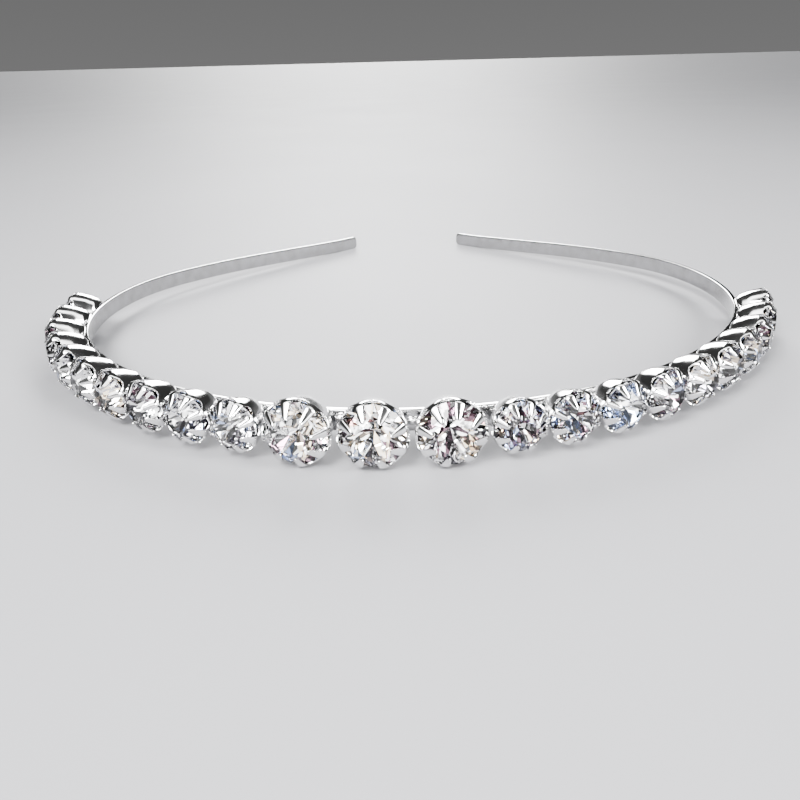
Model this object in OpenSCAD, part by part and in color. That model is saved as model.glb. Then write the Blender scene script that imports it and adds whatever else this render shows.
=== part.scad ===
// Rhinestone headband: one flat metal band bent to a horseshoe, standing on its edge, with a row of
// round cut stones held in claw settings soldered to its outer face. Millimetres, +Z up, the front of
// the head at -Y and the two free ends at +Y.

/* [Band] */
// Height of the flat band, measured across the strip
band_h = 3.5; // [3:0.1:5]
// Thickness of the band
band_t = 0.9; // [0.6:0.1:1.2]
// Radius of the arc over the top of the head
front_r = 72; // [64:1:80]
// How far the top arc turns on each side of the middle, degrees
front_turn = 55; // [50:0.5:60]
// Radius of the arc at each temple
side_r = 47.5; // [46:0.5:54]
// How far the temple arc turns, degrees
side_turn = 72; // [66:0.5:74]
// Radius of the slight arc behind each ear
rear_r = 140; // [100:5:180]
// How far the rear arc turns, degrees
rear_turn = 11.5; // [8:0.5:13]
// Length of the straight end
tail_l = 31; // [24:1:36]
// Radius of the rounded corners at the two ends
corner_r = 1.2; // [0.6:0.1:1.5]

/* [Stones] */
// Diameter of the three large stones at the girdle
large_d = 9.7; // [9:0.1:9.9]
// Diameter of the small stones at the girdle
small_d = 7.7; // [7:0.1:7.9]
// Small stones on each side of the large ones
small_count = 10; // [4:1:10]
// Height of the large girdle from the middle of the band's thickness
large_girdle = 5.5; // [5.2:0.1:6]
// Height of the small girdle from the middle of the band's thickness
small_girdle = 5.4; // [5.1:0.1:6]
// Diameter of the table as a part of the stone's diameter
table_part = 0.48; // [0.4:0.01:0.6]
// Height of the crown as a part of the stone's diameter
crown_part = 0.22; // [0.18:0.01:0.24]

/* [Row] */
// Spacing of the large stones along the band
large_pitch = 10.3; // [10.2:0.05:12]
// Spacing from the last large stone to the first small one
mixed_pitch = 9.2; // [9.1:0.05:11]
// Spacing of the small stones along the band
small_pitch = 7.95; // [7.95:0.05:8.3]
// How far the row sits along the band from its middle, to the right
row_shift = -7.5; // [-8:0.5:8]

/* [Settings] */
// Thickness of the stamped metal
metal_t = 0.32; // [0.25:0.01:0.35]
// Gap between a stone and its setting
clearance = 0.07; // [0.06:0.01:0.1]
// Width of a large setting's claw at its shoulder, where it folds and at its tip
large_claw = [1.5, 1.15, 0.55]; // [0.5:0.05:1.6]
// Width of a small setting's claw at its shoulder, where it folds and at its tip
small_claw = [1.3, 0.95, 0.45]; // [0.4:0.05:1.4]
// How far each large stone is turned about its axis with its setting, from left to right, degrees
large_turns = [-13, -4, 9]; // [-22:1:22]

/* [Resting] */
// Height of the band's middle line at the front
front_z = 4.99; // [4.9:0.01:6]
// How far the band leans down from its front towards its back, degrees
front_lean = 0.5; // [0:0.1:1.5]
// How far the stones lean back so that they look up, degrees
stone_lean = 3; // [0:0.5:5]
// Length along the band from its middle to the start of the droop
droop_start = 107; // [104:1:115]
// Length of the level part at each end, which stands on the surface
level_l = 6; // [4:0.5:8]

/* [Hidden] */
$fn = 96;
claw_count = 8;
claw_step = 360 / claw_count;
facet_step = 22.5;
stone_reach = small_count + 1;
total_turn = front_turn + side_turn + rear_turn;
front_length = front_r * front_turn * PI / 180;
half_length = front_length + (side_r * side_turn + rear_r * rear_turn) * PI / 180 + tail_l;
edge_round = 0.18;
// Height of the cup's back from the middle of the band
cup_back = 0.2;
// How far below the girdle the notches between the claws end, and how wide each is there
notch_depth = 0.55;
notch_part = 0.2;
// How far the ledge under a stone stands in from the wall, and the gap left between a crown and its claws
ledge = 0.3;
claw_gap = 0.13;
// How far the claws are rounded off where they fold and at their tips
fold_round = 0.2;
tip_round = 0.12;
// How far the cup's wall has narrowed at each depth below the girdle, and at each height of its back
wall_taper = [[0, 0.4], [0.26, 1.6], [0.6, 2.9]];
back_taper = [[1, 1.4], [1.3, 0.75], [1.75, 0.3], [2.1, 0]];
// Half the thickness of a stone's girdle
girdle_edge = 0.15;
// Parts of a stone's radius: its ring of star points against halfway, its rear ring, and the claws' tips
star_part = 1.06;
rear_part = 0.3;
tip_part = 0.6;
// The deepest pavilion, as a part of the stone's diameter
pavilion_part = 0.43;
// Degrees between the stations of an arc of the band, and of the corners at its ends
arc_stride = 2.5;
corner_stride = 18;
// Stations along the rear arc, and along the straight end as far as its level part
rear_steps = 4;
tail_steps = 4;
// Where the middle of the box round the whole object lies in the band's own frame
origin_x = -0.974;
origin_y = 60.076;

// Directions along and across the band, seen from above, where it has turned so far from the middle
function ahead(turn) = [cos(turn), sin(turn), 0];
function inward(turn) = [-sin(turn), cos(turn), 0];
front_centre = [0, front_r, 0];
front_end = front_centre - front_r * inward(front_turn);
side_centre = front_end + side_r * inward(front_turn);
side_end = side_centre - side_r * inward(front_turn + side_turn);
rear_centre = side_end + rear_r * inward(front_turn + side_turn);
rear_end = rear_centre - rear_r * inward(total_turn);
tail_end = rear_end + tail_l * ahead(total_turn);
level_start = tail_end - level_l * ahead(total_turn);

// The turn and the point at a length along the band from its middle, for lengths on its first two arcs
function turn_at(s) = s < front_length ? s / front_r * 180 / PI
                    : front_turn + (s - front_length) / side_r * 180 / PI;
function point_at(s) = s < front_length ? front_centre - front_r * inward(turn_at(s))
                     : side_centre - side_r * inward(turn_at(s));

// How far the ends droop below the slope, so that they touch the surface it rests on
end_droop = front_z - band_h / 2 - tan(front_lean) * level_start.y;

// A point of the band set down on its slope, with the droop that it has at a length s from the middle
function drop_at(s) = let (part = max(0, s - droop_start) / (half_length - level_l - droop_start))
    end_droop * part * part * (2 - part);
function settle(p, s) = [p.x, p.y, -tan(front_lean) * p.y - drop_at(s)];

// How high the strip still is, as a part of its full height, at an angle round a corner of its end
function corner_part(a) = 1 - (1 - sin(a)) * corner_r / (band_h / 2);

// Stations along the right half of the band, from the middle to its end: a point, a turn and that part
function arc_steps(turn) = max(2, ceil(turn / arc_stride));
function arc_length(radius, turn) = radius * turn * PI / 180;
tail_start = half_length - tail_l;
level_z = settle(level_start, half_length - level_l).z;
half_path = concat(
    [for (k = [0:arc_steps(front_turn)]) let (t = front_turn * k / arc_steps(front_turn))
        [settle(front_centre - front_r * inward(t), 0), t, 1]],
    [for (k = [1:arc_steps(side_turn)]) let (t = side_turn * k / arc_steps(side_turn), turn = front_turn + t)
        [settle(side_centre - side_r * inward(turn), front_length + arc_length(side_r, t)), turn, 1]],
    [for (k = [1:rear_steps]) let (left = rear_turn * (1 - k / rear_steps), turn = total_turn - left)
        [settle(rear_centre - rear_r * inward(turn), tail_start - arc_length(rear_r, left)), turn, 1]],
    [for (k = [1:tail_steps]) let (run = (tail_l - level_l) * k / tail_steps)
        [settle(rear_end + run * ahead(total_turn), tail_start + run), total_turn, 1]],
    [for (a = [90:-corner_stride:0]) let (p = tail_end - corner_r * (1 - cos(a)) * ahead(total_turn))
        [[p.x, p.y, level_z], total_turn, corner_part(a)]]);
last = len(half_path) - 1;
band_path = concat(
    [for (k = [last:-1:1]) let (st = half_path[k]) [[-st[0].x, st[0].y, st[0].z], -st[1], st[2]]], half_path);

// Where stone number i sits along the band: 0 is the middle stone, and plus is to the right
function row_step(n) = n <= 1 ? n * large_pitch : large_pitch + mixed_pitch + (n - 2) * small_pitch;
function row_at(i) = sign(i) * row_step(abs(i)) + row_shift;
function is_large(i) = abs(i) < 2;
function stone_d(i) = is_large(i) ? large_d : small_d;
function girdle_at(i) = is_large(i) ? large_girdle : small_girdle;
function claw_at(i) = is_large(i) ? large_claw : small_claw;
function stone_turn(i) = is_large(i) ? large_turns[i + 1] : 0;
function stone_name(i) = i == 0 ? "stone_middle"
                       : str("stone_", i < 0 ? "left_" : "right_", abs(i));

// Moves its children from the band's own frame, at the middle of its front, to the resting object's
module at_rest() {
    translate([-origin_x, -origin_y, front_z]) children();
}

// Puts its children at stone i, with +Z out from the band, and turned about it with that stone
module at_stone(i) {
    s = row_at(i);
    side = s < 0 ? -1 : 1;
    p = settle(point_at(abs(s)), 0);
    translate([side * p.x, p.y, p.z]) rotate([90 - stone_lean, 0, side * turn_at(abs(s))])
        rotate([0, 0, stone_turn(i)]) children();
}

// The flat strip, with slightly rounded edges, swept along the band's path from one end to the other
module strip() {
    t = band_t / 2;
    h = band_h / 2;
    e = edge_round;
    section = [[-t + e, -h], [t - e, -h], [t, -h + e], [t, h - e],
               [t - e, h], [-t + e, h], [-t, h - e], [-t, -h + e]];
    n = len(section);
    m = len(band_path);
    points = [for (st = band_path, q = section) st[0] + q.x * inward(st[1]) + [0, 0, q.y * st[2]]];
    walls = [for (i = [0:m - 2], k = [0:n - 1]) let (j = (k + 1) % n)
        [i * n + k, (i + 1) * n + k, (i + 1) * n + j, i * n + j]];
    polyhedron(points, concat(walls,
        [[for (k = [0:n - 1]) k]], [[for (k = [n - 1:-1:0]) (m - 1) * n + k]]));
}

// How steeply the crown rises from the girdle, and how far it has risen where the claws end
crown_slope = 2 * crown_part / (1 - table_part);
function claw_rise(r) = (r - r * tip_part) * crown_slope;

// One setting: a stamped cup that widens from its back to a ledge under the stone and folds over the crown
module setting(d, girdle) {
    r = d / 2;
    inner = r + clearance;
    outer = inner + metal_t;
    fold = girdle + girdle_edge;
    tip = r * tip_part;
    rise = claw_rise(r);
    n = len(back_taper) - 1;
    m = len(wall_taper) - 1;
    rotate_extrude() polygon(concat(
        [[0, cup_back]],
        [for (k = [n:-1:0]) [outer - back_taper[k].x, cup_back + back_taper[k].y]],
        [for (k = [m:-1:0]) [outer - wall_taper[k].x, girdle - wall_taper[k].y]],
        [[outer, fold + fold_round / 2], [outer - fold_round, fold + claw_gap + metal_t + fold_round / 2],
         [tip + tip_round, fold + claw_gap + metal_t + rise], [tip, fold + claw_gap + rise],
         [inner, fold + claw_gap / 2], [inner, girdle - girdle_edge - clearance],
         [inner - ledge, girdle - notch_depth]],
        [for (k = [1:m]) [outer - wall_taper[k].x - metal_t, girdle - wall_taper[k].y]],
        [for (k = [0:n - 1]) [outer - back_taper[k].x - metal_t, cup_back + back_taper[k].y + metal_t / 2]],
        [[outer - back_taper[n].x - metal_t, cup_back + metal_t], [0, cup_back + metal_t]]
    ));
}

// Half the width of the opening between two claws, at a radius, from the claws' own width there
function opening(radius, claw) = radius * sin(claw_step / 2) - claw / 2 * cos(claw_step / 2);

module claw_openings(d, girdle, claw) {
    r = d / 2;
    notch = notch_part * r / 2;
    shoulder = opening(r, claw[0]);
    bend = opening(r, claw[1]);
    tip = opening(r * tip_part, claw[2]);
    fold_z = girdle + girdle_edge + fold_round;
    tip_z = girdle + girdle_edge + metal_t + claw_rise(r);
    above = tip_z + 1;
    for (k = [0:claw_count / 2 - 1]) rotate([90, 0, k * claw_step])
        linear_extrude(height = 2 * d, center = true) polygon([
            [-notch, girdle - notch_depth], [notch, girdle - notch_depth], [shoulder, girdle],
            [bend, fold_z], [tip, tip_z], [tip, above], [-tip, above], [-tip, tip_z],
            [-bend, fold_z], [-shoulder, girdle]
        ]);
}

module claw_setting(i) {
    difference() {
        setting(stone_d(i), girdle_at(i));
        claw_openings(stone_d(i), girdle_at(i), claw_at(i));
    }
}

// The strip with every setting soldered to it, which is one piece of metal
module band() {
    color("silver") at_rest() union() {
        strip();
        for (i = [-stone_reach:stone_reach]) at_stone(i) claw_setting(i);
    }
}

// A round brilliant: table, 8 star facets, 8 kites, 16 upper facets, girdle, 16 lower facets, 8 rear kites
module brilliant(d, girdle) {
    r = d / 2;
    top = girdle + girdle_edge;
    bottom = girdle - girdle_edge;
    table_r = table_part * r;
    crown = crown_part * d;
    room = bottom - cup_back - metal_t - 2 * clearance;
    pavilion = min(room, pavilion_part * d);
    star_r = (r + table_r) / 2 * star_part;
    star_z = crown * (r - star_r * cos(facet_step)) / (r - table_r);
    low_r = rear_part * r;
    low_z = pavilion * (1 - low_r * cos(facet_step) / r);
    function ring(n, radius, z, turn) = [for (k = [0:n - 1])
        [radius * cos(turn + k * 360 / n), radius * sin(turn + k * 360 / n), z]];
    points = concat(
        ring(8, table_r, top + crown, facet_step), ring(8, star_r, top + star_z, 0),
        ring(16, r, top, 0), ring(16, r, bottom, 0),
        ring(8, low_r, bottom - low_z, 0), [[0, 0, bottom - pavilion]]);
    function table(k) = (k + 8) % 8;
    function star(k) = 8 + (k + 8) % 8;
    function upper(k) = 16 + (k + 16) % 16;
    function lower(k) = 32 + (k + 16) % 16;
    function rear(k) = 48 + (k + 8) % 8;
    polyhedron(points, concat(
        [[for (k = [7:-1:0]) k]],
        [for (k = [0:7]) [table(k), star(k), table(k - 1)]],
        [for (k = [0:7]) [table(k), star(k + 1), upper(2 * k + 1), star(k)]],
        [for (k = [0:7]) [star(k), upper(2 * k), upper(2 * k - 1)]],
        [for (k = [0:7]) [star(k), upper(2 * k + 1), upper(2 * k)]],
        [for (k = [0:15]) [upper(k), upper(k + 1), lower(k + 1), lower(k)]],
        [for (k = [0:7]) [rear(k), lower(2 * k - 1), lower(2 * k)]],
        [for (k = [0:7]) [rear(k), lower(2 * k), lower(2 * k + 1)]],
        [for (k = [0:7]) [56, rear(k), lower(2 * k + 1), rear(k + 1)]]));
}

module stone(i) {
    color("white") at_rest() at_stone(i) brilliant(stone_d(i), girdle_at(i));
}

band();
for (i = [-stone_reach:stone_reach]) stone(i);
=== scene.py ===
import math
import random

import bmesh
import bpy
from mathutils import Matrix, Vector


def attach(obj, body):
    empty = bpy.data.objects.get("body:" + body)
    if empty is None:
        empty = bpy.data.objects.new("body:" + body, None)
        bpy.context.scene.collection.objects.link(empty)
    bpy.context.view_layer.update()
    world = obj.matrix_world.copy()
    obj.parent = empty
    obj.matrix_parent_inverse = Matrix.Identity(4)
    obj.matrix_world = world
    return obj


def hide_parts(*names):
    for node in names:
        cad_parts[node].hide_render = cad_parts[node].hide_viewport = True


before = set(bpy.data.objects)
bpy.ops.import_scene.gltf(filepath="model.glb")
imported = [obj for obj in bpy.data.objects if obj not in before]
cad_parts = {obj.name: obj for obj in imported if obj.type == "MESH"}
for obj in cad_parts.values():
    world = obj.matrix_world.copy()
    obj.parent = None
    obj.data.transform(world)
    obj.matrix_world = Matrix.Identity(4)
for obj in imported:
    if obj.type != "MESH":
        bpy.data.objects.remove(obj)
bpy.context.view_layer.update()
collection = bpy.context.scene.collection
mm = 0.001
print("frame loaded with", len(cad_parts), "nodes")

# The band's line in plan, from the middle of its front to the right end, in millimetres and degrees
bandLine = {
    "frontRadius": 72.0,
    "frontTurn": 55.0,
    "templeRadius": 47.5,
    "templeTurn": 72.0,
    "earRadius": 140.0,
    "earTurn": 11.5,
    "endLength": 31.0,
    "levelLength": 6.0,
    "frontHeight": 4.99,
    "lean": 0.5,
    "endHeight": 1.75,
    "droopStart": 107.0,
    "middleX": -0.974,
    "middleY": 60.076,
}


def ahead(turn):
    return Vector((math.cos(turn), math.sin(turn), 0))


def inward(turn):
    return Vector((-math.sin(turn), math.cos(turn), 0))


def bandRuns():
    # each run is its radius, which is none on the straight end, and its length
    runs = []
    for part in ("front", "temple", "ear"):
        radius = bandLine[part + "Radius"]
        runs.append((radius, radius * math.radians(bandLine[part + "Turn"])))
    runs.append((None, bandLine["endLength"]))
    return runs


runs = bandRuns()
halfLength = sum(length for radius, length in runs)
levelStart = halfLength - bandLine["levelLength"]


def planAt(s):
    point = Vector((0, 0, 0))
    turn = 0.0
    for radius, length in runs:
        step = min(s, length)
        if radius is None:
            point = point + step * ahead(turn)
        else:
            point = point + radius * (inward(turn) - inward(turn + step / radius))
            turn += step / radius
        s -= step
        if s <= 0:
            break
    return point, turn


slope = math.tan(math.radians(bandLine["lean"]))
endDroop = bandLine["frontHeight"] - bandLine["endHeight"] - slope * planAt(levelStart)[0].y


def heightAt(s):
    # the band leans a little towards its back, and its ends droop until they lie level on the surface
    s = min(s, levelStart)
    part = max(0.0, s - bandLine["droopStart"]) / (levelStart - bandLine["droopStart"])
    return bandLine["frontHeight"] - slope * planAt(s)[0].y - endDroop * part * part * (2 - part)


def stationAt(s):
    # the point in the frame of the whole headband, and how far the band has turned there
    point, turn = planAt(abs(s))
    side = -1 if s < 0 else 1
    place = Vector((side * point.x - bandLine["middleX"], point.y - bandLine["middleY"], heightAt(abs(s))))
    return place, side * turn


def plainObject(name, mesh):
    obj = bpy.data.objects.new(name, mesh)
    collection.objects.link(obj)
    return obj


def meshFrom(name, points, faces):
    mesh = bpy.data.meshes.new(name)
    mesh.from_pydata([tuple(p) for p in points], [], faces)
    mesh.update()
    return mesh


def evaluated(obj):
    # what the modifiers make of an object, as a plain mesh
    bpy.context.view_layer.update()
    graph = bpy.context.evaluated_depsgraph_get()
    made = obj.evaluated_get(graph)
    return bpy.data.meshes.new_from_object(made, preserve_all_data_layers=True, depsgraph=graph)


def newTree(name, inputs):
    # a Geometry Nodes tree with its named inputs, and its first and last nodes
    tree = bpy.data.node_groups.new(name, "GeometryNodeTree")
    tree.interface.new_socket("Geometry", in_out="INPUT", socket_type="NodeSocketGeometry")
    sockets = {}
    for label, kind in inputs.items():
        sockets[label] = tree.interface.new_socket(label, in_out="INPUT", socket_type="NodeSocket" + kind)
    tree.interface.new_socket("Geometry", in_out="OUTPUT", socket_type="NodeSocketGeometry")
    return tree, sockets, tree.nodes.new("NodeGroupInput"), tree.nodes.new("NodeGroupOutput")


def ring(count, radius, height, turn=0.0):
    angles = [turn + 2 * math.pi * k / count for k in range(count)]
    return [Vector((radius * math.cos(a), radius * math.sin(a), height)) for a in angles]


def addNode(tree, kind, values=None, **settings):
    node = tree.nodes.new(kind)
    for name, value in settings.items():
        setattr(node, name, value)
    for socket, value in (values or {}).items():
        if isinstance(value, bpy.types.NodeSocket):
            tree.links.new(value, node.inputs[socket])
        else:
            node.inputs[socket].default_value = value
    return node


def runTree(obj, tree, sockets, values):
    modifier = obj.modifiers.new(tree.name, "NODES")
    modifier.node_group = tree
    for label, value in values.items():
        modifier[sockets[label].identifier] = value
    result = evaluated(obj)
    obj.modifiers.remove(modifier)
    obj.data = result
    return obj


def newMaterial(name):
    material = bpy.data.materials.new(name)
    material.use_nodes = True
    tree = material.node_tree
    return material, tree, tree.nodes["Principled BSDF"]


def noiseIn(tree, place, noise):
    # a noise is its scale, in waves a metre, and its detail
    scale, detail = noise
    values = {"Vector": place, "Scale": scale, "Detail": detail}
    return addNode(tree, "ShaderNodeTexNoise", values).outputs["Fac"]


def setRoughness(tree, shader, noise, span, roughness):
    # the roughness goes from its first value to its second while the noise crosses its span
    ranged = addNode(tree, "ShaderNodeMapRange", {
        "Value": noise,
        "From Min": span[0],
        "From Max": span[1],
        "To Min": roughness[0],
        "To Max": roughness[1],
    })
    tree.links.new(ranged.outputs["Result"], shader.inputs["Roughness"])


def setColour(tree, shader, noise, stops):
    ramp = addNode(tree, "ShaderNodeValToRGB", {"Fac": noise})
    for element, (position, colour) in zip(ramp.color_ramp.elements, stops):
        element.position = position
        element.color = (*colour, 1)
    tree.links.new(ramp.outputs["Color"], shader.inputs["Base Color"])


# Bright plated metal of the strip and the settings, with clouds, pits and, on the strip, rolling marks
plating = {
    "dull": (0.79, 0.785, 0.78),
    "bright": (0.90, 0.90, 0.905),
    "stripTone": 0.66,
    "tintSpan": (0.3, 0.6),
    "clouds": (420.0, 4.0),
    "cloudSpan": (0.3, 0.75),
    "roughness": (0.19, 0.07),
    "pits": (5200.0, 2.0),
    "pitDepth": 0.000004,
    "marks": (1.0, 3.0),
    "markStretch": (140.0, 9000.0, 1.0),
    "markDepth": 0.000003,
}


def platedMetal(name, marked):
    material, tree, shader = newMaterial(name)
    tone = plating["stripTone"] if marked else 1.0
    colours = [[tone * value for value in plating[part]] for part in ("dull", "bright")]
    place = addNode(tree, "ShaderNodeTexCoord").outputs["Object"]
    clouds = noiseIn(tree, place, plating["clouds"])
    setColour(tree, shader, clouds, zip(plating["tintSpan"], colours))
    setRoughness(tree, shader, clouds, plating["cloudSpan"], plating["roughness"])
    shader.inputs["Metallic"].default_value = 1.0
    pits = noiseIn(tree, place, plating["pits"])
    bump = addNode(tree, "ShaderNodeBump", {"Height": pits, "Distance": plating["pitDepth"]})
    if marked:
        grain = addNode(tree, "ShaderNodeAttribute", attribute_name="grain").outputs["Vector"]
        stretch = addNode(tree, "ShaderNodeMapping", {"Vector": grain, "Scale": plating["markStretch"]})
        bump = addNode(tree, "ShaderNodeBump", {
            "Height": noiseIn(tree, stretch.outputs["Vector"], plating["marks"]),
            "Distance": plating["markDepth"],
            "Normal": bump.outputs["Normal"],
        })
    tree.links.new(bump.outputs["Normal"], shader.inputs["Normal"])
    return material


stripMetal = platedMetal("polishedStrip", True)
settingMetal = platedMetal("polishedSetting", False)

# Lumpy solder
solder = {
    "tints": ((0.0, (0.84, 0.835, 0.83)), (1.0, (0.97, 0.97, 0.97))),
    "lumps": (1500.0, 3.0),
    "lumpDepth": 0.00006,
    "roughness": 0.26,
}


def solderMetal():
    material, tree, shader = newMaterial("brightSolder")
    place = addNode(tree, "ShaderNodeTexCoord").outputs["Object"]
    lumps = noiseIn(tree, place, solder["lumps"])
    setColour(tree, shader, lumps, solder["tints"])
    bump = addNode(tree, "ShaderNodeBump", {"Height": lumps, "Distance": solder["lumpDepth"]})
    tree.links.new(bump.outputs["Normal"], shader.inputs["Normal"])
    shader.inputs["Metallic"].default_value = 1.0
    shader.inputs["Roughness"].default_value = solder["roughness"]
    return material


beadMetal = solderMetal()

# The stones' glass, with a little haze, and the silver foil behind it
glass = {"ior": 1.56, "haze": (700.0, 3.0), "hazeSpan": (0.5, 0.8), "roughness": (0.0, 0.05)}
backing = {"ripple": (900.0, 2.0), "rippleSpan": (0.35, 0.7), "roughness": (0.02, 0.07)}


def clearCrystal():
    material, tree, shader = newMaterial("clearCrystal")
    shader.inputs["Base Color"].default_value = (1, 1, 1, 1)
    shader.inputs["Transmission Weight"].default_value = 1.0
    shader.inputs["IOR"].default_value = glass["ior"]
    place = addNode(tree, "ShaderNodeTexCoord").outputs["Object"]
    setRoughness(tree, shader, noiseIn(tree, place, glass["haze"]), glass["hazeSpan"], glass["roughness"])
    return material


def silverFoil():
    material, tree, shader = newMaterial("silverFoil")
    tint = addNode(tree, "ShaderNodeAttribute", attribute_name="foilPaintedReflectionTint")
    # the foil's silver, with painted dark reflections and painted coloured glints of fire on some facets
    tree.links.new(tint.outputs["Color"], shader.inputs["Base Color"])
    shader.inputs["Metallic"].default_value = 1.0
    place = addNode(tree, "ShaderNodeTexCoord").outputs["Object"]
    ripple = noiseIn(tree, place, backing["ripple"])
    setRoughness(tree, shader, ripple, backing["rippleSpan"], backing["roughness"])
    return material


crystal = clearCrystal()
foil = silverFoil()
print("materials made")

# The flat strip, with rounded corners at its two ends
strip = {
    "Height": 3.5,
    "Thickness": 0.9,
    "Edge": 0.2,
    "edgeSteps": 3,
    "corner": 1.2,
    "cornerSteps": 12,
    "spacing": 1.4,
}


def stripTree():
    tree, sockets, start, end = newTree("stripAlongLine", {
        "Height": "Float", "Thickness": "Float", "Edge": "Float", "Metal": "Material",
    })
    line = addNode(tree, "GeometryNodeMeshToCurve", {"Mesh": start.outputs["Geometry"]})
    upright = addNode(tree, "GeometryNodeSetCurveNormal", {"Curve": line.outputs["Curve"]}, mode="Z_UP")
    run = addNode(tree, "GeometryNodeSplineParameter")
    marked = addNode(tree, "GeometryNodeStoreNamedAttribute", {
        "Geometry": upright.outputs["Curve"], "Name": "along", "Value": run.outputs["Length"],
    }, data_type="FLOAT", domain="POINT")
    outline = addNode(tree, "GeometryNodeCurvePrimitiveQuadrilateral", {
        "Width": start.outputs["Thickness"], "Height": start.outputs["Height"],
    })
    rounded = addNode(tree, "GeometryNodeFilletCurve", {
        "Curve": outline.outputs["Curve"], "Count": strip["edgeSteps"], "Radius": start.outputs["Edge"],
    }, mode="POLY")
    across = addNode(tree, "GeometryNodeSplineParameter")
    section = addNode(tree, "GeometryNodeStoreNamedAttribute", {
        "Geometry": rounded.outputs["Curve"], "Name": "across", "Value": across.outputs["Length"],
    }, data_type="FLOAT", domain="POINT")
    swept = addNode(tree, "GeometryNodeCurveToMesh", {
        "Curve": marked.outputs["Geometry"], "Profile Curve": section.outputs["Geometry"], "Fill Caps": True,
    })
    alongValue = addNode(tree, "GeometryNodeInputNamedAttribute", {"Name": "along"}, data_type="FLOAT")
    acrossValue = addNode(tree, "GeometryNodeInputNamedAttribute", {"Name": "across"}, data_type="FLOAT")
    grain = addNode(tree, "ShaderNodeCombineXYZ", {
        "X": alongValue.outputs["Attribute"], "Y": acrossValue.outputs["Attribute"],
    })
    stored = addNode(tree, "GeometryNodeStoreNamedAttribute", {
        "Geometry": swept.outputs["Mesh"], "Name": "grain", "Value": grain.outputs["Vector"],
    }, data_type="FLOAT_VECTOR", domain="POINT")
    smooth = addNode(tree, "GeometryNodeSetShadeSmooth", {"Geometry": stored.outputs["Geometry"]})
    painted = addNode(tree, "GeometryNodeSetMaterial", {
        "Geometry": smooth.outputs["Geometry"], "Material": start.outputs["Metal"],
    })
    whole = addNode(tree, "GeometryNodeRealizeInstances", {"Geometry": painted.outputs["Geometry"]})
    tree.links.new(whole.outputs["Geometry"], end.inputs["Geometry"])
    return tree, sockets


def stripLine():
    lengths = []
    start = 0.0
    for radius, length in runs:
        length = min(length, halfLength - strip["corner"] - start)
        count = math.ceil(length / strip["spacing"])
        lengths += [start + length * k / count for k in range(count)]
        start += length
    for k in range(strip["cornerSteps"] + 1):
        lengths.append(start + strip["corner"] * math.sin(math.pi / 2 * k / strip["cornerSteps"]))
    stations = [-s for s in reversed(lengths[1:])] + lengths
    points = [stationAt(s)[0] * mm for s in stations]
    mesh = bpy.data.meshes.new("stripLine")
    mesh.from_pydata([tuple(p) for p in points], [(k, k + 1) for k in range(len(points) - 1)], [])
    return mesh


def narrowed(left, radius, half):
    # the share of its half width that a rounded end keeps, at a distance from its tip
    inside = max(0.0, 1 - left / radius)
    return 1 - (1 - math.sqrt(1 - inside * inside)) * radius / half


def roundEnds(mesh):
    grain = mesh.attributes["grain"].data
    whole = max(mark.vector.x for mark in grain)
    for vertex, mark in zip(mesh.vertices, grain):
        left = min(mark.vector.x, whole - mark.vector.x) / mm
        if left < strip["corner"]:
            side = -1 if mark.vector.x < whole / 2 else 1
            place, turn = stationAt(side * (halfLength - left))
            across = (vertex.co / mm - place).dot(inward(turn))
            across *= narrowed(left, strip["Edge"], strip["Thickness"] / 2)
            rise = (vertex.co.z / mm - place.z) * narrowed(left, strip["corner"], strip["Height"] / 2)
            vertex.co = (place + across * inward(turn) + Vector((0, 0, rise))) * mm


stripObject = plainObject("metalStrip", stripLine())
tree, sockets = stripTree()
runTree(stripObject, tree, sockets, {
    "Height": strip["Height"] * mm,
    "Thickness": strip["Thickness"] * mm,
    "Edge": strip["Edge"] * mm,
    "Metal": stripMetal,
})
roundEnds(stripObject.data)
print("strip made with", len(stripObject.data.polygons), "faces")

# The row of stones, counted from the middle one to each side
row = {
    "eachSide": 11,
    "largePitch": 10.3,
    "mixedPitch": 9.2,
    "smallPitch": 7.95,
    "shift": -7.5,
    "lean": 3.0,
    "turnSpread": 2.5,
    "largeTurns": {-1: -13.0, 0: -4.0, 1: 9.0},
    "seed": 7,
}

# The two sizes of stone, and the settings that hold them
sizes = {
    "large": {"diameter": 9.7, "girdle": 5.5, "claw": (1.5, 1.15, 0.55)},
    "small": {"diameter": 7.7, "girdle": 5.4, "claw": (1.3, 0.95, 0.45)},
}
cut = {
    "table": 0.48,
    "crown": 0.22,
    "girdleEdge": 0.15,
    "star": 1.06,
    "rear": 0.3,
    "pavilion": 0.43,
    "floor": 0.66,
    "facets": 8,
}


def sizeOf(i):
    return "large" if abs(i) < 2 else "small"


def rowAt(i):
    n = abs(i)
    step = n * row["largePitch"]
    if n > 1:
        step = row["largePitch"] + row["mixedPitch"] + (n - 2) * row["smallPitch"]
    return math.copysign(step, i) + row["shift"]


# The small stones are turned in their places by a little chance, and the large ones each by its own angle
stoneNumbers = list(range(-row["eachSide"], row["eachSide"] + 1))
dice = random.Random(row["seed"])
ownTurns = {i: math.radians(dice.uniform(-row["turnSpread"], row["turnSpread"])) for i in stoneNumbers}
for i, angle in row["largeTurns"].items():
    ownTurns[i] = math.radians(angle)


def facing(i):
    # turns a piece made upright, with its axis along Z, to face outwards at stone i
    place, turn = stationAt(rowAt(i))
    outwards = Matrix.Rotation(turn, 4, "Z") @ Matrix.Rotation(math.radians(90 - row["lean"]), 4, "X")
    return Matrix.Translation(place * mm) @ outwards @ Matrix.Rotation(ownTurns[i], 4, "Z")


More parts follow.
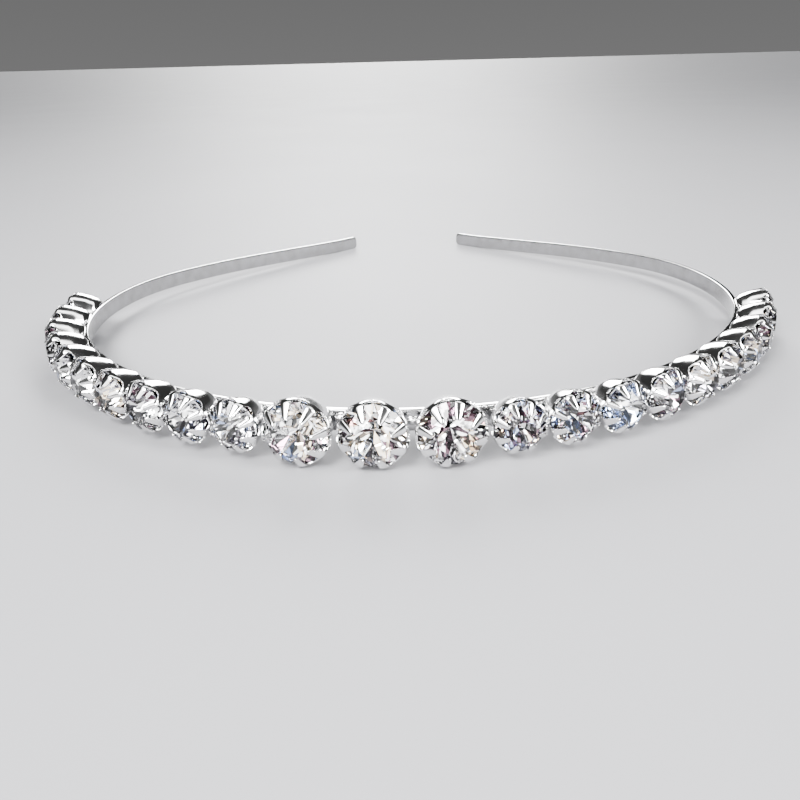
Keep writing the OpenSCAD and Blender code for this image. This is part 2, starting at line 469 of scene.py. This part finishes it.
# One stamped setting: a cup whose wall splits into eight claws that fold over the stone
setting = {
    "thickness": 0.3,
    "clearance": 0.07,
    "wall": 0.32,
    "back": 0.2,
    "innermost": 0.6,
    "backTaper": ((2.1, 0.0), (1.75, 0.3), (1.3, 0.75), (1.0, 1.4)),
    "wallTaper": ((0.6, 2.9), (0.26, 1.6), (0.0, 0.4)),
    "cornerCuts": (0, 0.15, 0.2, 0.25, 0.3, 0.5, 0.5, 0.35, 0.15, 0.2, 0),
    "notchDepth": 0.55,
    "notchPart": 0.1,
    "notchRound": 0.12,
    "clawGap": 0.13,
    "fold": 0.2,
    "tip": 0.6,
    "tipRound": 0.12,
    "tipLength": 0.4,
    "tipNarrowing": 0.34,
    "widestGap": 0.95,
    "notchRows": (0.0, 0.01, 0.04, 0.08, 0.12, 0.3, 0.55),
    "claws": 8,
    "columns": 6,
    "edge": 0.07,
    "arch": 0.08,
    "archRise": 0.8,
    "rowSpacing": 0.34,
    "weld": 0.002,
    "edgeAngle": 50.0,
}

# The ledge under a stone, as a section: how far each corner lies in from the wall, and below the notches
ledge = {"section": ((-0.1, 0.01), (0.3, 0.01), (0.35, 0.36), (0.0, 0.91)), "columns": 40}


def softened(points, cuts, steps=3):
    # a line of points with its corners rounded, each by its own length
    line = [points[0]]
    for k in range(1, len(points) - 1):
        here = points[k]
        before = (points[k - 1] - here).normalized() * cuts[k]
        after = (points[k + 1] - here).normalized() * cuts[k]
        for n in range(steps + 1):
            t = n / steps
            line.append((1 - t) ** 2 * (here + before) + 2 * t * (1 - t) * here + t * t * (here + after))
    line.append(points[-1])
    return line


def spaced(line, longest):
    result = [line[0]]
    for a, b in zip(line, line[1:]):
        count = max(1, math.ceil((b - a).length / longest))
        result += [a.lerp(b, k / count) for k in range(1, count + 1)]
    return result


def clawRise(size):
    # how far the crown has risen from the girdle where the claws end
    return size["diameter"] * cut["crown"] / (1 - cut["table"]) * (1 - setting["tip"])


def settingLine(size):
    r = size["diameter"] / 2
    girdle = size["girdle"]
    outer = r + setting["clearance"] + setting["wall"]
    fold = girdle + cut["girdleEdge"]
    back = setting["back"]
    bend = setting["fold"]
    top = fold + setting["clawGap"] + setting["wall"]
    corners = [(setting["innermost"], back)]
    corners += [(outer - narrower, back + height) for narrower, height in setting["backTaper"]]
    corners += [(outer - narrower, girdle - depth) for narrower, depth in setting["wallTaper"]]
    corners += [(outer, fold + bend / 2), (outer - bend, top + bend / 2)]
    corners.append((r * setting["tip"] + setting["tipRound"], top + clawRise(size)))
    return spaced(softened([Vector(c) for c in corners], setting["cornerCuts"]), setting["rowSpacing"])


def clawHalfWidth(size, point):
    # half the angle that a claw covers at a point of the setting's line
    r = size["diameter"] / 2
    radius, height = point
    half = math.pi / setting["claws"]
    rise = height - size["girdle"] + setting["notchDepth"]
    if rise <= 0:
        return half

    def gap(reach, width):
        return reach * math.sin(half) - width / 2 * math.cos(half)

    fold = cut["girdleEdge"] + setting["fold"]
    tip = cut["girdleEdge"] + setting["wall"] + clawRise(size)
    stops = (
        (0.0, setting["notchPart"] * r),
        (setting["notchDepth"], gap(r, size["claw"][0])),
        (setting["notchDepth"] + fold, gap(r, size["claw"][1])),
        (setting["notchDepth"] + tip, gap(r * setting["tip"], size["claw"][2])),
    )
    width = stops[-1][1]
    for (low, narrow), (high, wide) in zip(stops, stops[1:]):
        if low <= rise < high:
            width = narrow + (wide - narrow) * (rise - low) / (high - low)
    if rise < setting["notchRound"]:
        width *= math.sqrt(1 - (1 - rise / setting["notchRound"]) ** 2)
    return half - math.asin(min(setting["widestGap"], width / radius))


def addLedge(mesh, size):
    # the ledge inside the wall, under the edge of the stone
    inner = size["diameter"] / 2 + setting["clearance"]
    top = size["girdle"] - setting["notchDepth"]
    section = [(inner - reach, top - depth) for reach, depth in ledge["section"]]
    count, corners = ledge["columns"], len(section)
    points, faces = [], []
    for k in range(count):
        angle = 2 * math.pi * k / count
        points += [Vector((x * math.cos(angle), x * math.sin(angle), z)) * mm for x, z in section]
        here, there = corners * k, corners * ((k + 1) % count)
        for c in range(corners):
            d = (c + 1) % corners
            faces.append((here + c, here + d, there + d, there + c))
    both = bmesh.new()
    both.from_mesh(mesh)
    both.from_mesh(meshFrom("ledge", points, faces))
    both.to_mesh(mesh)
    both.free()


def stampedSetting(name, size):
    line = settingLine(size)
    # extra rows where the openings between the claws begin
    rim = size["girdle"] - setting["notchDepth"]
    extra = [rim + rise for rise in setting["notchRows"]]
    finer = line[:1]
    for a, b in zip(line, line[1:]):
        finer += [a.lerp(b, (height - a.y) / (b.y - a.y)) for height in extra if a.y < height < b.y]
        finer.append(b)
    line = finer
    total = sum((q - p).length for p, q in zip(line, line[1:]))
    points, faces = [], []
    claws, columns = setting["claws"], setting["columns"]
    for claw in range(claws):
        middle = math.pi * (2 * claw + 1) / claws
        run = 0.0
        first = len(points)
        for k, p in enumerate(line):
            run += (p - line[k - 1]).length if k else 0.0
            half = clawHalfWidth(size, p)
            along = (line[min(k + 1, len(line) - 1)] - line[max(k - 1, 0)]).normalized()
            drop = setting["arch"] * min(1.0, max(0.0, p.y - rim) / setting["archRise"])
            left = total - run
            if left < setting["tipLength"]:
                half *= 1 - setting["tipNarrowing"] * (1 - left / setting["tipLength"]) ** 2
            for c in range(columns + 1):
                # a claw is a little arched, so its sides lie lower than its middle
                across = 2 * c / columns - 1
                angle = middle + half * across
                low = drop * across * across
                radius, height = p.x - low * along.y, p.y + low * along.x
                points.append(Vector((radius * math.cos(angle), radius * math.sin(angle), height)) * mm)
        for k in range(len(line) - 1):
            for c in range(columns):
                at = first + k * (columns + 1) + c
                faces.append((at, at + 1, at + columns + 2, at + columns + 1))
    obj = plainObject(name, meshFrom(name, points, faces))
    weld = obj.modifiers.new("weld", "WELD")
    weld.merge_threshold = setting["weld"] * mm
    sheet = obj.modifiers.new("sheet", "SOLIDIFY")
    sheet.thickness = setting["thickness"] * mm
    sheet.offset = -1
    sheet.use_even_offset = True
    rounding = obj.modifiers.new("rounding", "BEVEL")
    rounding.width = setting["edge"] * mm
    rounding.segments = 2
    rounding.limit_method = "ANGLE"
    rounding.angle_limit = math.radians(setting["edgeAngle"])
    result = evaluated(obj)
    obj.modifiers.clear()
    obj.data = result
    addLedge(result, size)
    for face in result.polygons:
        face.use_smooth = True
    print(name, "has", len(result.polygons), "faces")
    return obj


def rowTree(name):
    tree, sockets, start, end = newTree(name, {"Piece": "Object", "Metal": "Material"})
    piece = addNode(tree, "GeometryNodeObjectInfo", {"Object": start.outputs["Piece"]})
    way = addNode(tree, "GeometryNodeInputNamedAttribute", {"Name": "way"}, data_type="FLOAT_VECTOR")
    size = addNode(tree, "GeometryNodeInputNamedAttribute", {"Name": "size"}, data_type="FLOAT_VECTOR")
    turn = addNode(tree, "FunctionNodeEulerToRotation", {"Euler": way.outputs["Attribute"]})
    copies = addNode(tree, "GeometryNodeInstanceOnPoints", {
        "Points": start.outputs["Geometry"],
        "Instance": piece.outputs["Geometry"],
        "Rotation": turn.outputs["Rotation"],
        "Scale": size.outputs["Attribute"],
    })
    whole = addNode(tree, "GeometryNodeRealizeInstances", {"Geometry": copies.outputs["Instances"]})
    painted = addNode(tree, "GeometryNodeSetMaterial", {
        "Geometry": whole.outputs["Geometry"], "Material": start.outputs["Metal"],
    })
    tree.links.new(painted.outputs["Geometry"], end.inputs["Geometry"])
    return tree, sockets


def rowOfCopies(name, piece, places, metal, scales=None):
    # places are matrices; each becomes a point that carries the way it faces and its size
    mesh = bpy.data.meshes.new(name + "Points")
    mesh.from_pydata([tuple(m.translation) for m in places], [], [])
    ways = mesh.attributes.new("way", "FLOAT_VECTOR", "POINT")
    spans = mesh.attributes.new("size", "FLOAT_VECTOR", "POINT")
    for k, m in enumerate(places):
        ways.data[k].vector = tuple(m.to_euler("XYZ"))
        spans.data[k].vector = scales[k] if scales else (1, 1, 1)
    obj = plainObject(name, mesh)
    tree, sockets = rowTree(name + "Row")
    return runTree(obj, tree, sockets, {"Piece": piece, "Metal": metal})


settingObjects = []
for kind, size in sizes.items():
    stamp = stampedSetting(kind + "Stamp", size)
    places = [facing(i) for i in stoneNumbers if sizeOf(i) == kind]
    settingObjects.append(rowOfCopies(kind + "Settings", stamp, places, settingMetal))
    bpy.data.objects.remove(stamp)
print("settings made:", [len(o.data.polygons) for o in settingObjects])

# Solder between each setting and the next, on the outer face of the strip
bead = {
    "width": 2.1,
    "height": 1.5,
    "rise": 0.3,
    "depth": 1.7,
    "spread": 0.22,
    "drift": 0.25,
    "seed": 21,
    "segments": 16,
    "rings": 8,
}


def solderBead():
    # a ball one millimetre across
    segments, rings = bead["segments"], bead["rings"]
    points = [Vector((0, 0, -0.5))]
    for k in range(1, rings):
        tilt = math.pi * k / rings
        points += ring(segments, math.sin(tilt) / 2, -math.cos(tilt) / 2)
    points.append(Vector((0, 0, 0.5)))
    last = len(points) - 1
    faces = []
    for n in range(segments):
        m = (n + 1) % segments
        faces.append((0, 1 + m, 1 + n))
        faces.append((last, last - segments + n, last - segments + m))
        for k in range(rings - 2):
            low = 1 + k * segments
            faces.append((low + n, low + m, low + segments + m, low + segments + n))
    obj = plainObject("beadForm", meshFrom("beadForm", [p * mm for p in points], faces))
    for face in obj.data.polygons:
        face.use_smooth = True
    return obj


def beadPlaces():
    chance = random.Random(bead["seed"])
    places, scales = [], []
    for i in stoneNumbers[:-1]:
        s = (rowAt(i) + rowAt(i + 1)) / 2
        place, turn = stationAt(s)
        drift = chance.uniform(-1, 1) * bead["drift"]
        outward = -inward(turn) * (strip["Thickness"] / 2)
        centre = place + outward + Vector((0, 0, bead["rise"] + drift))
        turned = Matrix.Rotation(turn, 4, "Z") @ Matrix.Rotation(math.pi / 2, 4, "X")
        places.append(Matrix.Translation(centre * mm) @ turned)
        grow = 1 + chance.uniform(-1, 1) * bead["spread"]
        scales.append((bead["width"] * grow, bead["height"] * grow, bead["depth"] * grow))
    return places, scales


form = solderBead()
places, scales = beadPlaces()
solderObject = rowOfCopies("solderBeads", form, places, beadMetal, scales)
bpy.data.objects.remove(form)
print("solder made")

# Some facets of the silver foil behind a stone get a painted colour instead of silver: the dark ones are
# painted dark reflections and the blue and warm ones painted glints of fire, which show as flecks
foilAndPaintedReflections = {
    "seed": 12,
    "silver": (0.97, 0.97, 0.975),
    "colours": ((0.20, 0.13, 0.16), (0.62, 0.72, 0.96), (0.93, 0.82, 0.68), (0.28, 0.27, 0.31)),
    "share": 0.38,
}


def brilliant(name, size, chance):
    d = size["diameter"]
    r = d / 2
    top = size["girdle"] + cut["girdleEdge"]
    bottom = size["girdle"] - cut["girdleEdge"]
    tableRadius = cut["table"] * r
    crown = cut["crown"] * d
    depth = min(bottom - cut["floor"], cut["pavilion"] * d)
    n = cut["facets"]
    m = 2 * n
    step = math.pi / n
    starRadius = (r + tableRadius) / 2 * cut["star"]
    starHeight = crown * (r - starRadius * math.cos(step)) / (r - tableRadius)
    rearRadius = cut["rear"] * r
    rearHeight = depth * (1 - rearRadius * math.cos(step) / r)
    points = ring(n, tableRadius, top + crown, step) + ring(n, starRadius, top + starHeight)
    points += ring(m, r, top) + ring(m, r, bottom) + ring(n, rearRadius, bottom - rearHeight)
    points.append(Vector((0, 0, bottom - depth)))
    tip = len(points) - 1

    def table(k):
        return k % n

    def star(k):
        return n + k % n

    def upper(k):
        return 2 * n + k % m

    def lower(k):
        return 2 * n + m + k % m

    def rear(k):
        return 2 * n + 2 * m + k % n

    front = [tuple(range(n))]
    for k in range(n):
        front.append((table(k - 1), star(k), table(k)))
        front.append((star(k), upper(2 * k + 1), star(k + 1), table(k)))
        front.append((upper(2 * k - 1), upper(2 * k), star(k)))
        front.append((upper(2 * k), upper(2 * k + 1), star(k)))
    for k in range(m):
        front.append((lower(k), lower(k + 1), upper(k + 1), upper(k)))
    back = []
    for k in range(n):
        back.append((lower(2 * k), lower(2 * k - 1), rear(k)))
        back.append((lower(2 * k + 1), lower(2 * k), rear(k)))
        back.append((rear(k + 1), lower(2 * k + 1), rear(k), tip))
    mesh = meshFrom(name, [p * mm for p in points], front + back)
    mesh.materials.append(crystal)
    mesh.materials.append(foil)
    tints = mesh.attributes.new("foilPaintedReflectionTint", "FLOAT_COLOR", "CORNER")
    for face in mesh.polygons:
        face.material_index = 0 if face.index < len(front) else 1
        colour = foilAndPaintedReflections["silver"]
        # some facets get a painted dark reflection or a painted coloured glint of fire instead of plain
        # silver
        if chance.random() < foilAndPaintedReflections["share"]:
            colour = chance.choice(foilAndPaintedReflections["colours"])
        for corner in face.loop_indices:
            tints.data[corner].color = (*colour, 1)
    return mesh


chance = random.Random(foilAndPaintedReflections["seed"])
stoneObjects = []
for i in stoneNumbers:
    side = "Left" if i < 0 else "Right"
    name = "stoneMiddle" if i == 0 else "stone" + side + str(abs(i))
    node = "stone_middle" if i == 0 else "stone_" + side.lower() + "_" + str(abs(i))
    mesh = brilliant(name, sizes[sizeOf(i)], chance)
    mesh.transform(facing(i))
    stone = plainObject(name, mesh)
    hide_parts(node)
    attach(stone, "root")
    stoneObjects.append(stone)
print("stones made:", len(stoneObjects))

for piece in [stripObject, solderObject] + settingObjects:
    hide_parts("band")
    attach(piece, "root")

# A plain pale surface, in metres
ground = {
    "size": 60.0,
    "colour": (0.29, 0.29, 0.30, 1),
    "clouds": (9.0, 3.0),
    "roughness": (0.55, 0.65),
    "shine": 0.2,
}


def paleSurface():
    half = ground["size"] / 2
    corners = [(-half, -half, 0), (half, -half, 0), (half, half, 0), (-half, half, 0)]
    obj = plainObject("paleSurface", meshFrom("paleSurface", corners, [(0, 1, 2, 3)]))
    material, tree, shader = newMaterial("paleSurface")
    place = addNode(tree, "ShaderNodeTexCoord").outputs["Object"]
    setRoughness(tree, shader, noiseIn(tree, place, ground["clouds"]), (0.0, 1.0), ground["roughness"])
    shader.inputs["Base Color"].default_value = ground["colour"]
    shader.inputs["Specular IOR Level"].default_value = ground["shine"]
    obj.data.materials.append(material)
    return obj


paleSurface()

# Soft lamps: place and aim in metres, size in metres, power in watts
lamps = {
    "keySoftbox": {"place": (-0.30, -0.42, 0.60), "size": (0.36, 0.36), "power": 10.0},
    "fillSoftbox": {"place": (0.50, -0.34, 0.42), "size": (0.26, 0.26), "power": 5.0},
    "lowLamp": {"place": (0.16, -0.62, 0.20), "size": (0.07, 0.07), "power": 2.0},
}


def softLamps():
    for name, lamp in lamps.items():
        data = bpy.data.lights.new(name, "AREA")
        data.shape = "RECTANGLE"
        data.size, data.size_y = lamp["size"]
        data.energy = lamp["power"]
        obj = bpy.data.objects.new(name, data)
        collection.objects.link(obj)
        obj.location = lamp["place"]
        obj.rotation_euler = (-Vector(lamp["place"])).to_track_quat("-Z", "Y").to_euler()


# Brightness of the room at each height of the view, round the bright ring of the ceiling towards the
# front, and in the window behind, each by how nearly a line of sight points that way
room = {
    "edge": ((0.0, 0.165), (0.10, 0.15), (0.22, 0.045)),
    "ceiling": ((0.34, 0.015), (0.60, 0.04), (0.67, 2.8), (0.76, 2.8), (0.84, 0.06)),
    "ceilingWay": (0.0, -0.55, 0.83),
    "window": ((0.955, 0.0), (0.975, 15.0)),
    "windowWay": (-0.02, 0.91, 0.41),
}


def greyRamp(tree, value, stops):
    shade = addNode(tree, "ShaderNodeValToRGB", {"Fac": value})
    ramp = shade.color_ramp
    while len(ramp.elements) < len(stops):
        ramp.elements.new(0.5)
    for element, (position, level) in zip(ramp.elements, stops):
        element.position = position
        element.color = (level, level, level, 1)
    return shade.outputs["Color"]


def studioRoom():
    world = bpy.data.worlds.new("studioRoom")
    bpy.context.scene.world = world
    world.use_nodes = True
    tree = world.node_tree
    way = addNode(tree, "ShaderNodeTexCoord").outputs["Generated"]
    height = addNode(tree, "ShaderNodeSeparateXYZ", {"Vector": way}).outputs["Z"]
    light = greyRamp(tree, height, room["edge"])
    for part in ("ceiling", "window"):
        aim = {0: way, 1: room[part + "Way"]}
        nearness = addNode(tree, "ShaderNodeVectorMath", aim, operation="DOT_PRODUCT").outputs["Value"]
        both = {0: light, 1: greyRamp(tree, nearness, room[part])}
        light = addNode(tree, "ShaderNodeVectorMath", both, operation="ADD").outputs["Vector"]
    tree.links.new(light, tree.nodes["Background"].inputs["Color"])


softLamps()
studioRoom()

# The camera stands in front of the middle of the row, a little above it; its place is in millimetres
view = {
    "place": (-2.87, -151.64, 52.34),
    "down": 25.83,
    "turn": -2.6,
    "roll": -1.48,
    "focal": 31.6755,
    "sensor": 36.0,
    "shift": -0.0376625,
    "nearest": 0.005,
}


def addCamera():
    data = bpy.data.cameras.new("frontCamera")
    data.lens = view["focal"]
    data.sensor_width = view["sensor"]
    data.sensor_fit = "HORIZONTAL"
    data.shift_x = view["shift"]
    data.clip_start = view["nearest"]
    obj = bpy.data.objects.new("frontCamera", data)
    collection.objects.link(obj)
    turned = Matrix.Rotation(math.radians(view["turn"]), 4, "Z")
    tilted = Matrix.Rotation(math.radians(90 - view["down"]), 4, "X")
    rolled = Matrix.Rotation(math.radians(view["roll"]), 4, "Z")
    obj.matrix_world = Matrix.Translation(Vector(view["place"]) * mm) @ turned @ tilted @ rolled
    bpy.context.scene.camera = obj


addCamera()
bpy.context.scene.view_settings.view_transform = "AgX"
bpy.context.scene.view_settings.look = "AgX - High Contrast"
print("stage and camera set")
